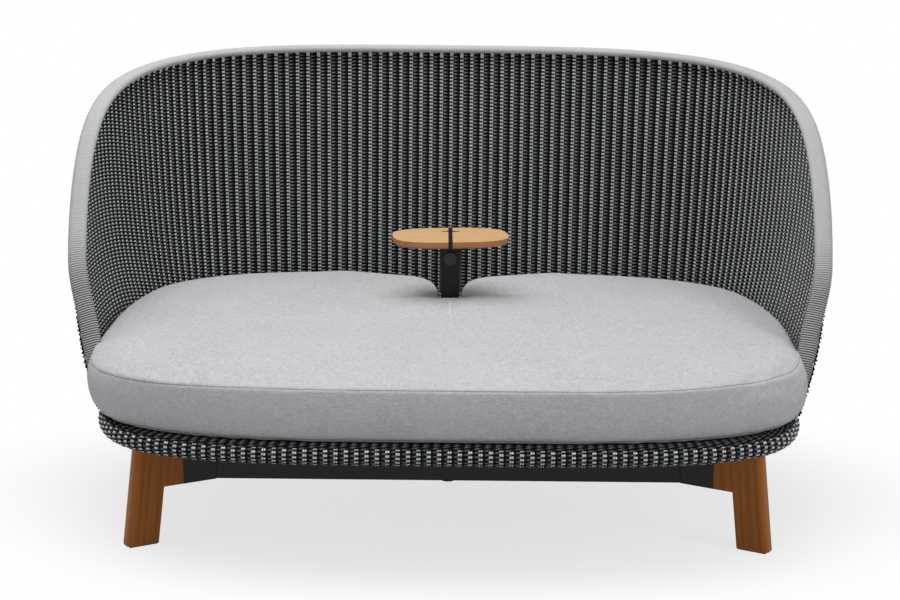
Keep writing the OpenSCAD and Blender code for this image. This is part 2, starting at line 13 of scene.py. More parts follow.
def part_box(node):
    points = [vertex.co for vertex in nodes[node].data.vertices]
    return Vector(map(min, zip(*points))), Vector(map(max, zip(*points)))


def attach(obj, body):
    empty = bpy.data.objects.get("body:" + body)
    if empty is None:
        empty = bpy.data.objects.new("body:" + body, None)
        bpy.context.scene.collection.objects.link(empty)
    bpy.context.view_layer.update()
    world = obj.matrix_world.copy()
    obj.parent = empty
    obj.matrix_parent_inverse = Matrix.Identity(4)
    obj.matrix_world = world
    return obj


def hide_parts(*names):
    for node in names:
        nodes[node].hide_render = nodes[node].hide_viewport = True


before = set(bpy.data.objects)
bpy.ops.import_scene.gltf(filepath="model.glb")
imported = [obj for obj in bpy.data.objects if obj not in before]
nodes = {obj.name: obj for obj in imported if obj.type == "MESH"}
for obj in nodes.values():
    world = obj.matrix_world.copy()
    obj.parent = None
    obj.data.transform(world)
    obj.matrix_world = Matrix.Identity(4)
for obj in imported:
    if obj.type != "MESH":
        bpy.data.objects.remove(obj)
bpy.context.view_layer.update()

# %% [markdown]
# ## Camera
# The photograph was taken from the front with a long lens, a little above the seat and tipped down
# by 14 degrees, and the camera stood slightly left of the middle with a small roll. A turn made of
# three simple turns (heading, tip, roll) keeps each of these facts readable.

# %% Place the camera
scene = bpy.context.scene
HEADING, TIP, ROLL = math.radians(-0.25), math.radians(13.8), math.radians(0.65)
STAND_OFF, EYE_HEIGHT, LENS = 4.043, 1.451, 75.8
eye = bpy.data.cameras.new("eye")
eye.lens, eye.sensor_width, eye.sensor_fit = LENS, 36, "HORIZONTAL"
camera = bpy.data.objects.new("eye", eye)
scene.collection.objects.link(camera)
place = Matrix.Translation((STAND_OFF * math.sin(HEADING), -STAND_OFF * math.cos(HEADING), EYE_HEIGHT))
camera.matrix_world = (place @ Matrix.Rotation(HEADING, 4, "Z")
                       @ Matrix.Rotation(math.pi / 2 - TIP, 4, "X") @ Matrix.Rotation(ROLL, 4, "Z"))
scene.camera = camera
scene.view_settings.view_transform = "Standard"
print("camera at", [round(c, 3) for c in camera.location])

# %% [markdown]
# ## Shader maths as Python
# A material is a graph of small nodes. Writing `1 - mask * 0.3` is easier to read than four wired
# boxes, so a small class wraps a socket and turns Python operators into Math nodes. Colours never go
# through a Math node, which would turn them grey: they go through Mix.

# %% A socket that understands + - * and **
class Wire:
    """One output socket. Arithmetic on it adds Math nodes to its material."""

    def __init__(self, finish, socket):
        self.finish, self.socket = finish, socket

    def math(self, operation, *values):
        return self.finish.node("ShaderNodeMath", {"operation": operation}, dict(enumerate(values)))

    def __add__(self, other):
        return self.math("ADD", self, other)

    def __sub__(self, other):
        return self.math("SUBTRACT", self, other)

    def __rsub__(self, other):
        return self.math("SUBTRACT", other, self)

    def __mul__(self, other):
        return self.math("MULTIPLY", self, other)

    def __pow__(self, other):
        return self.math("POWER", self, other)

    def __abs__(self):
        return self.math("ABSOLUTE", self)

    __radd__ = __add__
    __rmul__ = __mul__

    def sine(self):
        return self.math("SINE", self)

    def ping(self, width):
        return self.math("PINGPONG", self, width)

    def step(self, low, high):
        return self.finish.node("ShaderNodeMapRange", {"interpolation_type": "SMOOTHSTEP"},
                                {"Value": self, "From Min": low, "From Max": high})

# %% [markdown]
# One more class holds a material while it is being made. Its `node` method is the only place that
# adds nodes: it sets a node's choices first, then the values or wires of its sockets.

# %% A material under construction
def tone(red, green, blue):
    """A screen colour, 0 to 255, as the linear colour that a shader wants."""
    return tuple((c / 255 / 12.92) if c <= 10 else ((c / 255 + 0.055) / 1.055) ** 2.4
                 for c in (red, green, blue)) + (1.0,)


class Finish:
    """A material that is built by calls; it ends in one Principled shader."""

    def __init__(self, name):
        self.material = bpy.data.materials.new(name)
        self.material.use_nodes = True
        self.tree = self.material.node_tree
        self.tree.nodes.clear()

    def node(self, kind, settings=None, inputs=None, out=0):
        made = self.tree.nodes.new(kind)
        for key, value in (settings or {}).items():
            if key == "stops":
                ramp = made.color_ramp.elements
                while len(ramp) < len(value):
                    ramp.new(0.5)
                for element, (place, colour) in zip(ramp, value):
                    element.position, element.color = place, colour
            else:
                setattr(made, key, value)
        for key, value in (inputs or {}).items():
            if isinstance(value, Wire):
                self.tree.links.new(value.socket, made.inputs[key])
            else:
                made.inputs[key].default_value = value
        return Wire(self, made.outputs[out])

    def place(self, scale=(1, 1, 1), turn=None):
        """Object coordinates, turned first and then scaled; one Mapping node does it the other way."""
        at = self.node("ShaderNodeTexCoord", out="Object")
        if turn:
            at = self.node("ShaderNodeMapping", {}, {"Vector": at, "Rotation": turn})
        return self.node("ShaderNodeMapping", {}, {"Vector": at, "Scale": scale})

    def axis(self, vector, name):
        return self.node("ShaderNodeSeparateXYZ", {}, {"Vector": vector}, out=name)

    def noise(self, vector, scale, detail=2.0, roughness=0.5, distortion=0.0):
        return self.node("ShaderNodeTexNoise", {}, {
            "Vector": vector, "Scale": scale, "Detail": detail,
            "Roughness": roughness, "Distortion": distortion})

    def mix(self, factor, first, second):
        return self.node("ShaderNodeMix", {"data_type": "RGBA"}, {0: factor, 6: first, 7: second}, out=2)

    def ramp(self, factor, *stops):
        return self.node("ShaderNodeValToRGB", {"stops": stops}, {"Fac": factor})

    def bump(self, height, depth, strength=1.0):
        return self.node("ShaderNodeBump", {}, {"Height": height, "Distance": depth, "Strength": strength})

    def close(self, **sockets):
        """Ends the material in a Principled shader; names use _ for a space."""
        values = {key.replace("_", " "): value for key, value in sockets.items()}
        shader = self.node("ShaderNodeBsdfPrincipled", {}, values)
        out = self.tree.nodes.new("ShaderNodeOutputMaterial")
        self.tree.links.new(shader.socket, out.inputs["Surface"])
        return self.material

# %% [markdown]
# ## Powder-coated steel
# Beams, arms, rails, post and sleeve are steel under a black baked powder. Powder melts into a film
# with a fine orange-peel skin, so it is neither a mirror nor matt. Two noises do it: a fine one as
# relief, and a broad one that moves the roughness a little, as handling does.

# %% Make the black powder coat
def powder_coat(name, dark, pale, shine):
    f = Finish(name)
    at = f.place()
    peel = f.noise(at, 900, 2)
    cloud = f.noise(at, 14, 3)
    rub = f.noise(at, 160, 4, 0.7).step(0.62, 0.78)
    colour = f.mix(cloud, tone(*dark), tone(*pale))
    colour = f.mix(rub * 0.2, colour, tone(40, 40, 42))
    return f.close(Base_Color=colour, Roughness=shine + 0.10 * cloud + 0.05 * rub,
                   Normal=f.bump(peel, 0.00012, 0.5), Specular_IOR_Level=0.26)


black_steel = powder_coat("black_powder_coat", (6, 6, 7), (12, 12, 13), 0.38)
print("made", black_steel.name)

# %% [markdown]
# ## Zinc-plated steel and the small plastics
# Bolts and screws are plated, with faint turning marks. The knob is moulded: fine leather-like
# grain. The bushes are pale acetal, and the glides are rubber, which is matt and a little dusty.

# %% Make the hardware finishes
def plated(name):
    f = Finish(name)
    marks = f.noise(f.place((1, 1, 14)), 260, 3)
    stain = f.noise(f.place(), 60, 3)
    colour = f.mix(stain, tone(128, 130, 134), tone(168, 169, 172))
    return f.close(Base_Color=colour, Metallic=0.9, Roughness=0.28 + 0.22 * marks,
                   Normal=f.bump(marks, 0.00006, 0.5))


def moulded(name, dark, pale, rough, grain):
    f = Finish(name)
    at = f.place()
    cells = f.node("ShaderNodeTexVoronoi", {}, {"Vector": at, "Scale": grain}, out="Distance")
    cloud = f.noise(at, 45, 3)
    colour = f.mix(cloud, tone(*dark), tone(*pale))
    return f.close(Base_Color=colour, Roughness=rough + 0.12 * cloud, Normal=f.bump(cells, 0.0001, 0.4))


plain_steel = plated("zinc_plated_steel")
black_plastic = moulded("moulded_knob", (6, 6, 7), (12, 12, 13), 0.36, 900)
pale_plastic = moulded("acetal_bush", (205, 203, 196), (224, 222, 216), 0.4, 700)
black_rubber = moulded("rubber_glide", (20, 20, 21), (38, 37, 36), 0.72, 1400)
print("made", plain_steel.name, black_plastic.name, pale_plastic.name, black_rubber.name)

# %% [markdown]
# ## Teak
# Teak shows long straight grain with slightly darker bands and short dark pores. All of them are
# stretched along the board, so the pattern is made by squeezing the coordinates along the grain: a
# feature that would be round becomes a long streak. Each leg leans its own way, so its material gets
# its own turn, which brings the grain onto the local Z axis.

# %% Make the teak
def teak(name, turn, heart, band, pore, edge=None):
    f = Finish(name)
    long_way = f.place((1, 1, 0.045), turn)
    fibre = f.place((1, 1, 0.012), turn)
    drift = f.noise(long_way, 22, 3, 0.55, 0.6)
    rings = (f.axis(long_way, "X") * 420 + drift * 16).sine() * 0.5 + 0.5
    hair = f.noise(fibre, 900, 4, 0.65)
    pores = f.noise(fibre, 1500, 2, 0.5).step(0.60, 0.72)
    cloud = f.noise(f.place((1, 1, 0.3), turn), 7, 3)
    colour = f.mix(rings * 0.55, tone(*heart), tone(*band))
    colour = f.mix(hair.step(0.42, 0.72) * 0.45, colour, tone(*band))
    colour = f.mix(cloud.step(0.4, 0.75) * 0.35, colour, tone(*band))
    colour = f.mix(pores * 0.5, colour, tone(*pore))
    # painted shade: faces that stand upright get the darker edge tone, so the sides read darker than the top
    if edge:
        facing = f.node("ShaderNodeNewGeometry", out="Normal")
        shaded_sides = 1 - abs(f.axis(facing, "Z")).step(0.45, 0.8)
        colour = f.mix(shaded_sides * 0.8, colour, tone(*edge))
    relief = hair * 0.6 - pores * 0.7 + rings * 0.2
    return f.close(Base_Color=colour, Roughness=0.52 + 0.16 * hair + 0.1 * pores,
                   Normal=f.bump(relief, 0.00022, 0.6), Specular_IOR_Level=0.35)


LENGTHWISE = Matrix(((0, 1, 0), (0, 0, 1), (1, 0, 0))).to_euler("XYZ")   # brings X onto the grain's axis
# the last tone is the painted shade of the table's upright sides
table_timber = teak("table_teak", tuple(LENGTHWISE), (216, 177, 128), (190, 145, 98), (146, 98, 58),
                    (164, 106, 58))
print("made", table_timber.name)

# %% [markdown]
# ## Cord
# The weave is round outdoor cord: a braided sleeve over a core. A braid is two sets of ribs that
# cross at an angle. On a 4 mm cord the ribs are under a millimetre, so two sine waves in opposite
# slants over the object's coordinates read as a braid wherever the cord runs.

# %% Make the cords
def cord(name, dark, pale, rib, rough, depth, stretch=None, shine=0.4):
    f = Finish(name)
    at = f.place()
    x, y, z = (f.axis(at, n) for n in "XYZ")
    turn = 2 * math.pi / rib
    one = ((x * 0.72 + y * 0.52 + z * 0.62) * turn).sine()
    two = ((x * 0.72 + y * 0.52 - z * 0.62) * turn).sine()
    braid = abs(one * two)
    cloud = f.noise(at, 9, 3)
    fleck = f.noise(at, 420, 3, 0.7)
    colour = f.mix(cloud.step(0.3, 0.7) * 0.6 + fleck * 0.4, tone(*dark), tone(*pale))
    # painted highlight: a dark cord's grey stretch after each crossing, where a lamp's shine would fall, laid
    # on as colour
    if stretch:
        grey = f.node("ShaderNodeAttribute", {"attribute_name": "stretch"}, out="Fac")
        colour = f.mix(grey * (0.75 + 0.35 * cloud), colour, tone(*stretch))
    # painted shade: the cord is a little darker between its braid ribs, in the grooves
    colour = f.mix((1 - braid) * 0.12, colour, tone(*(int(c * 0.6) for c in dark)))
    return f.close(Base_Color=colour, Roughness=rough + 0.1 * fleck,
                   Normal=f.bump(braid + fleck * 0.3, depth, 0.7), Specular_IOR_Level=shine)


# the charcoal cord's last tone is its painted highlight grey
dark_cord = cord("charcoal_cord", (7, 7, 8), (14, 14, 15), 0.0016, 0.6, 0.0001, (150, 152, 154), 0.08)
pale_cord = cord("pale_cord", (238, 242, 242), (250, 252, 251), 0.0016, 0.6, 0.00015)
print("made", dark_cord.name, pale_cord.name)

# %% [markdown]
# ## The shell's surface
# Everything woven lies on two surfaces: the rounded edge of the seat pan, and the shell that grows
# out of it and swells outwards. Both start from one outline, a superellipse: rounder than a
# rectangle, squarer than an ellipse. The CAD source gives the numbers, and the functions below repeat
# them, so that a strand lies where the solid is.

# %% The pan's outline
PAN_HALF_WIDTH, PAN_FRONT, PAN_BACK, PAN_SQUARE, SEAT_Y = 0.732, 0.462, 0.584, 4.0, -0.09549


def pan_outline(turn):
    """A point on the outline and its outward direction; turn is 0 at the back and 90 at the right."""
    s, c = math.sin(math.radians(turn)), math.cos(math.radians(turn))
    depth = PAN_BACK if c > 0 else PAN_FRONT
    r = (abs(s / PAN_HALF_WIDTH) ** PAN_SQUARE + abs(c / depth) ** PAN_SQUARE) ** (-1 / PAN_SQUARE)
    x, y = r * s, r * c
    gx = math.copysign(abs(x / PAN_HALF_WIDTH) ** (PAN_SQUARE - 1) / PAN_HALF_WIDTH, x)
    gy = math.copysign(abs(y / depth) ** (PAN_SQUARE - 1) / depth, y)
    g = math.hypot(gx, gy)
    return x, y, gx / g, gy / g


def ease(value, low, high):
    """0 up to low, 1 from high on, and a soft S between them."""
    k = min(1.0, max(0.0, (value - low) / (high - low)))
    return k * k * (3 - 2 * k)


def even_turns(first, last, pitch, crowd=lambda turn: 1.0, steps=1440):
    """Turns about one pitch apart along the outline, or closer by the number that crowd gives."""
    turns = [first + (last - first) * k / steps for k in range(steps + 1)]
    spots = [pan_outline(t) for t in turns]
    run = [0.0]
    for turn, a, b in zip(turns, spots, spots[1:]):
        run.append(run[-1] + math.hypot(b[0] - a[0], b[1] - a[1]) * crowd(turn))
    count = 2 * round(run[-1] / pitch / 2)
    found, k = [], 0
    for n in range(count + 1):
        want = run[-1] * n / count
        while k < steps - 1 and run[k + 1] < want:
            k += 1
        share = (want - run[k]) / (run[k + 1] - run[k])
        found.append(turns[k] + (turns[k + 1] - turns[k]) * share)
    return found, run[-1]


around, girth = even_turns(-180, 180, 0.020)
print("pan outline", round(girth, 3), "m round,", len(around) - 1, "columns")

# %% [markdown]
# The shell leaves the pan, swells by up to 84 mm at the sides and 12 mm at the back, and its back
# leans out a little. Its top edge, where the rim runs, falls from the back's corners to the front ends.

# %% The shell and its rim line
SHELL_BOTTOM, SHELL_START, SEAM_HEIGHT = 0.271, 0.0043, 0.4106
RIM_LAST = next(t for t in (90 + 0.5 * k for k in range(120)) if pan_outline(t)[1] < -0.144)


def shell(turn, height, out=0.0):
    """A point of the shell's middle surface, moved outwards by out."""
    x, y, nx, ny = pan_outline(turn)
    k = abs(nx) ** 1.5
    h = max(0.0, height - SHELL_BOTTOM)
    swell = ((0.012 + (0.084 - 0.012) * k) * (1 - math.exp(-(h / 0.175) ** 1.2))
             + (0.060 + (0.002 - 0.060) * k) * h)
    far = SHELL_START + swell + out
    return Vector((x + nx * far, y + SEAT_Y + ny * far, height))


def rim_height(turn):
    x, y = pan_outline(turn)[:2]
    v = (PAN_BACK - y) / (PAN_BACK + 0.144)
    return (0.947 - 0.655 * (0.241 + (0.273 + 0.486 * v) * v) * v
            + 0.002 * (1 - (x / PAN_HALF_WIDTH) ** 2))


def rim_center(turn):
    z = rim_height(turn)
    k = min(1.0, max(0.0, (SEAM_HEIGHT + 0.150 - z) / 0.140))
    return shell(turn, z, -(0.008 + 0.016 * k * k * (3 - 2 * k)))


print("rim from", round(rim_height(RIM_LAST), 3), "to", round(rim_height(0), 3), "m, to turn", RIM_LAST)

# %% [markdown]
# ## Strands
# One way to make a weave is a bumped texture, but then the silhouette, the shadows between strands
# and the view through a raking angle are all wrong. Here each strand is a real one: a poly curve with
# a small round bevel, four sides with smooth shading, because there are hundreds. Cords that belong
# together share one curve object, which then becomes a mesh at the origin.

# %% Curves to mesh pieces
def as_piece(obj, name):
    """A mesh object at the origin, made from what obj looks like now; obj is removed."""
    bpy.context.view_layer.update()
    shown = obj.evaluated_get(bpy.context.evaluated_depsgraph_get())
    mesh = bpy.data.meshes.new_from_object(shown)
    mesh.transform(obj.matrix_world)
    piece = bpy.data.objects.new(name, mesh)
    scene.collection.objects.link(piece)
    bpy.data.objects.remove(obj)
    return piece


def from_bmesh(bm, name, smooth=True):
    """A linked mesh object that holds what bm held; bm is freed."""
    mesh = bpy.data.meshes.new(name)
    bm.to_mesh(mesh)
    bm.free()
    if smooth:
        mesh.shade_smooth()
    made = bpy.data.objects.new(name, mesh)
    scene.collection.objects.link(made)
    return made


def finish_piece(piece, material, body, slot, *replaced):
    piece.data.materials.clear()
    piece.data.materials.append(material)
    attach(piece, body)
    if replaced:
        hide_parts(*replaced)
    piece.data.calc_loop_triangles()
    print(piece.name, len(piece.data.loop_triangles), "triangles")
    return piece


def strands(name, runs, radius, closed=False, highlight_shares=None):
    """One mesh piece of many cords; each run is a list of points. A painted-highlight share per point may go
    with it.
    """
    curve = bpy.data.curves.new(name, "CURVE")
    curve.dimensions, curve.bevel_depth, curve.bevel_resolution = "3D", radius, 0
    curve.use_fill_caps = True
    for run in runs:
        spline = curve.splines.new("POLY")
        spline.points.add(len(run) - 1)
        spline.points.foreach_set("co", [c for p in run for c in (p.x, p.y, p.z, 1.0)])
        spline.use_cyclic_u = closed
        spline.use_smooth = True
    draft = bpy.data.objects.new(name + "_draft", curve)
    scene.collection.objects.link(draft)
    piece = as_piece(draft, name)
    if highlight_shares:
        # the mesh has the points of the end caps first, then four points round each point of a run
        caps = len(piece.data.vertices) - 4 * sum(map(len, runs))
        # each point's share of the painted highlight
        grey = piece.data.attributes.new("stretch", "FLOAT", "POINT")
        grey.data.foreach_set("value", [0.0] * caps + [t for run in highlight_shares for t in run for _ in range(4)])
    return piece

# %% [markdown]
# ## The shell's weave
# The real shell is a plain weave. Pairs of pale cords stand in columns 24 mm apart, up to twice as
# close in the back's corners, where each pair is drawn together into one dot, and dark cords
# run round the shell, over one pair and under the next, so each pair shows as two pale dots on every
# second row, and neighbouring columns show theirs half a step apart. A dark cord is black where it
# crosses a pair; the grey just after it is a painted highlight, so each point also carries how much
# of it shows. Rows arch a little: they are highest in the middle of the back and drop along the sides.

# %% Columns and rows of the shell
ROW_PITCH, WEFT_SWING, WARP_SWING = 0.00418, 0.0022, 0.0018
WEFT_RADIUS, WARP_RADIUS, PAIR_HALF = 0.00212, 0.00195, 0.0021
COLUMN_PITCH, CORNER_TURN, CORNER_SPREAD = 0.0244, 57, 9.5
FIRST_ROW, TIE_LENGTH, TIE_DEPTH = SHELL_BOTTOM + 0.0022, 0.016, -0.0048
STOPS = (0.13, 0.37, 0.63, 0.87)


def crowd(turn):
    """The columns stand up to twice as close in the back's corners, where the shell turns most."""
    return 1 + math.exp(-((abs(turn) - CORNER_TURN) / CORNER_SPREAD) ** 2)


columns, _ = even_turns(-RIM_LAST, RIM_LAST, COLUMN_PITCH, crowd)


def column_turn(u):
    """The turn at column number u, which may lie between two columns."""
    k = min(len(columns) - 2, max(0, int(u)))
    return columns[k] + (columns[k + 1] - columns[k]) * (u - k)


def drop(turn):
    """How far a row has dropped at this turn."""
    x, y = pan_outline(turn)[:2]
    side = max(0.0, 0.38 - y)
    return 0.088 * x * x + 0.19 * side * side / (side + 0.10)


def over_under(phase):
    """1 where a cord lies over a pair, -1 where it lies under one, and straight in between."""
    return max(-1.0, min(1.0, 1.35 * (2 * abs(phase % 2 - 1) - 1)))


def highlight_share(phase):
    """Painted highlight: grey just after the crossing over a pair, black everywhere else."""
    return max(0.0, 1 - abs(phase % 2 - 0.34) / 0.34)


places = [k + stop for k in range(len(columns) - 1) for stop in STOPS]
drops = [drop(column_turn(u)) for u in places]
print(len(columns), "columns")

# %% Weave the dark rows
weft_runs, weft_highlights = [], []
row_count = int((0.970 + max(drops) - SHELL_BOTTOM) / ROW_PITCH)
for j in range(row_count):
    run, highlight = [], []
    for u, fall in zip(places + [None], drops + [0]):
        turn = column_turn(u) if u is not None else 0
        z = FIRST_ROW + j * ROW_PITCH - fall
        if u is not None and SHELL_BOTTOM + 0.0015 < z < rim_height(turn) - 0.002:
            swing = over_under(u + j)
            run.append(shell(turn, z, -WEFT_SWING * (swing if swing > 0 else 0.6 * swing)))
            highlight.append(highlight_share(u + j))
        else:
            if len(run) > 4:
                weft_runs.append(run)
                weft_highlights.append(highlight)
            run, highlight = [], []
print(len(weft_runs), "rows,", sum(map(len, weft_runs)), "points")

# %% Weave the pale columns
warp_runs = []
for i, turn in enumerate(columns):
    nx, ny = pan_outline(turn)[2:]
    sideways = Vector((-ny, nx, 0))
    heights = [FIRST_ROW + j * ROW_PITCH - drop(turn) for j in range(row_count)]
    tied = rim_height(turn) - TIE_LENGTH
    for side in (-1, 1):
        apart = side * PAIR_HALF / crowd(turn) ** 1.2
        run = [shell(turn, z, WARP_SWING * over_under(i + j) if z < tied else TIE_DEPTH) + sideways * apart
               for j, z in enumerate(heights) if SHELL_BOTTOM < z < rim_height(turn)]
        if len(run) > 4:
            warp_runs.append((i, run))
print(len(warp_runs), "pale cords,", sum(len(r) for _, r in warp_runs), "points")

# %% Make the shell's pieces
quarter = len(weft_runs) // 4
for k, part in enumerate(("low", "lower_middle", "upper_middle", "high")):
    chosen = slice(k * quarter, (k + 1) * quarter if k < 3 else None)
    piece = strands("shell_rows_" + part, weft_runs[chosen], WEFT_RADIUS, highlight_shares=weft_highlights[chosen])
    finish_piece(piece, dark_cord, "frame", "dark_weave", *(["back_weave"] if k == 0 else []))
for part, low, high in (("left", 0, 0.34), ("back", 0.34, 0.66), ("right", 0.66, 1.01)):
    runs = [r for i, r in warp_runs if low <= i / len(columns) < high]
    finish_piece(strands("shell_columns_" + part, runs, WARP_RADIUS), pale_cord, "frame", "rim_cord")

# %% [markdown]
# Real cords are soft, and beaten together until no light passes between them. These round ones leave
# thin wedges beside each pair, so a dark sheet of painted shade, half a millimetre thick, stands in the
# weave's middle plane, where the real weave has only shade. It hides nothing, because every cord swings
# clear of it on the side where it shows.

# %% Close the weave with a sheet of painted shade
def shade_sheet(name, columns_wide, rows_high, place_of):
    """A thin dark sheet of painted shade; place_of turns two shares, 0 to 1, into a point."""
    bm = bmesh.new()
    bmesh.ops.create_grid(bm, x_segments=columns_wide, y_segments=rows_high, size=1)
    for v in bm.verts:
        v.co = place_of((v.co.x + 1) / 2, (v.co.y + 1) / 2)
    bmesh.ops.remove_doubles(bm, verts=bm.verts, dist=0.00002)
    bmesh.ops.recalc_face_normals(bm, faces=bm.faces)
    bmesh.ops.solidify(bm, geom=bm.faces[:], thickness=0.0005)
    return finish_piece(from_bmesh(bm, name), dark_cord, "frame", "dark_weave")


def shell_sheet_place(across, up):
    turn = (2 * across - 1) * RIM_LAST
    low, high = SHELL_BOTTOM + 0.003, rim_height(turn) - 0.006
    return shell(turn, low + (high - low) * up)


shade_sheet("shell_shade_sheet", 240, 40, shell_sheet_place)

# %% [markdown]
# ## The pan's woven edge
# The same weave wraps the pan's rounded edge, from under it to just below the cushion. Its columns
# are 20 mm apart. The profile is walked by length: a flat underside, half an ellipse, a flat top.

# %% The edge's profile
PAN_MIDDLE, EDGE_ROUND, EDGE_HALF, EDGE_ROW = 0.277, 0.020, 0.022, 0.0042
INSET = 0.0040
profile = [(-0.047, -EDGE_HALF + INSET)]
profile += [(-INSET - (EDGE_ROUND - 0.001) * (1 - math.cos(math.radians(a))),
             (EDGE_HALF - INSET) * math.sin(math.radians(a))) for a in range(-90, 91, 6)]
profile += [(-0.047, EDGE_HALF - INSET)]
lengths = [0.0]
for a, b in zip(profile, profile[1:]):
    lengths.append(lengths[-1] + math.dist(a, b))


def edge_point(turn, walked, out):
    """A point on the pan's skin, moved along the profile's normal by out."""
    k = max(0, min(len(profile) - 2, next((i for i, l in enumerate(lengths) if l > walked), 99) - 1))
    (o1, z1), (o2, z2) = profile[k], profile[k + 1]
    share = (walked - lengths[k]) / (lengths[k + 1] - lengths[k])
    size = math.hypot(o2 - o1, z2 - z1)
    o = o1 + (o2 - o1) * share + out * (z2 - z1) / size
    z = z1 + (z2 - z1) * share - out * (o2 - o1) / size
    x, y, nx, ny = pan_outline(turn)
    return Vector((x + nx * o, y + SEAT_Y + ny * o, PAN_MIDDLE + z))


edge_rows = int((lengths[-1] - 0.004) / EDGE_ROW)
print("profile", round(lengths[-1], 4), "m,", edge_rows, "rows")

# %% Weave the edge
edge_wefts, edge_highlights, edge_warps = [], [], []
edge_places = [k + stop for k in range(len(around) - 1) for stop in STOPS]
for j in range(edge_rows):
    turns = [around[int(u)] + (around[int(u) + 1] - around[int(u)]) * (u % 1) for u in edge_places]
    edge_wefts.append([edge_point(t, 0.002 + j * EDGE_ROW, WEFT_SWING * over_under(u + j) * 0.8)
                       for t, u in zip(turns, edge_places)])
    edge_highlights.append([highlight_share(u + j) * 0.6 for u in edge_places])
for i, turn in enumerate(around[:-1]):
    nx, ny = pan_outline(turn)[2:]
    for side in (-1, 1):
        edge_warps.append([
            edge_point(turn, 0.002 + k / 2 * EDGE_ROW, -WARP_SWING * over_under(i + k / 2))
            + Vector((-ny, nx, 0)) * side * PAIR_HALF for k in range(2 * edge_rows - 15)])
pan_rows = strands("pan_rows", edge_wefts, 0.00215, closed=True, highlight_shares=edge_highlights)
finish_piece(pan_rows, dark_cord, "frame", "dark_weave", "pan_weave")
finish_piece(strands("pan_columns", edge_warps, WARP_RADIUS), pale_cord, "frame", "rim_cord")


def pan_sheet_place(across, up):
    return edge_point(360 * across - 180, 0.004 + (lengths[-1] - 0.008) * up, 0)


# painted shade: the same dark sheet in the middle plane of the pan's edge
shade_sheet("pan_shade_sheet", 360, 24, pan_sheet_place)

# %% [markdown]
# ## The wound rim
# The rim is a tube, 40 by 18 mm, wound tightly with one pale cord from end to end. A helix of round
# cord would leave deep grooves; the real cord is pressed flat, so only fine lines show. So a grid is
# rolled round the rim's path, with four rings to each turn of cord, and one ring in four is sunk. The
# rings lean by one pitch per turn, as a winding does. Its own UV map counts the turns for the shader.

# %% Frames along the rim
WOUND_PITCH, RIM_HALF_WIDTH, RIM_HALF_DEPTH, RIM_SQUARE = 0.0052, 0.020, 0.009, 2.8
STATIONS = 900


def rim_frame(turn):
    along = (rim_center(turn + 0.5) - rim_center(turn - 0.5)).normalized()
    nx, ny = pan_outline(turn)[2:]
    flat = Vector((nx, ny, 0))
    across = (flat - along * flat.dot(along)).normalized()
    return rim_center(turn), across, along.cross(across)


rim_stations = [rim_frame(-RIM_LAST + 2 * RIM_LAST * k / STATIONS) for k in range(STATIONS + 1)]
rim_run = [0.0]
for a, b in zip(rim_stations, rim_stations[1:]):
    rim_run.append(rim_run[-1] + (b[0] - a[0]).length)
WINDS = round(rim_run[-1] / WOUND_PITCH)


def rim_at(share):
    """The rim's frame at a share of its length, between two stations."""
    want = min(1.0, max(0.0, share)) * rim_run[-1]
    low, high = 0, STATIONS
    while high - low > 1:
        middle = (low + high) // 2
        low, high = (middle, high) if rim_run[middle] <= want else (low, middle)
    k = (want - rim_run[low]) / (rim_run[high] - rim_run[low])
    return [a.lerp(b, k) for a, b in zip(rim_stations[low], rim_stations[high])]


print("rim", round(rim_run[-1], 3), "m long,", WINDS, "turns of cord")

# %% Wind the rim
SINK = (0.0015, 0.00025, 0.0, 0.00025)
rings, sides = 4 * WINDS, 20
bm = bmesh.new()
bm.loops.layers.uv.new("winding")
bmesh.ops.create_grid(bm, x_segments=sides, y_segments=rings, size=1, calc_uvs=True)
for v in bm.verts:
    step, ring = (v.co.x + 1) / 2, round((v.co.y + 1) / 2 * rings)
    angle = 2 * math.pi * step
    c, s = math.cos(angle), math.sin(angle)
    sunk = SINK[ring % 4] if 2 < ring < rings - 2 else 0.0003
    wide, deep = abs(c) / (RIM_HALF_WIDTH - sunk), abs(s) / (RIM_HALF_DEPTH - sunk)
    r = (wide ** RIM_SQUARE + deep ** RIM_SQUARE) ** (-1 / RIM_SQUARE)
    lean = 4 * step * min(1, ring / 40, (rings - ring) / 40)
    center, across, up = rim_at((ring + lean) / rings)
    v.co = center + across * (r * c) + up * (r * s)
bmesh.ops.remove_doubles(bm, verts=bm.verts, dist=0.00002)
bmesh.ops.holes_fill(bm, edges=[e for e in bm.edges if e.is_boundary], sides=0)
bmesh.ops.recalc_face_normals(bm, faces=bm.faces)
rim_winding = from_bmesh(bm, "rim_winding")
print("wound", WINDS, "turns in", rings, "rings")

# %% [markdown]
# The winding's colour: a pale grey cord, with a painted shade line in each groove. UV's second number runs
# from 0 to 1 along the rim, so times the number of turns it counts grooves. Towards the rim's low ends
# the cord is painted darker and its groove lines wider and darker: painted shade.

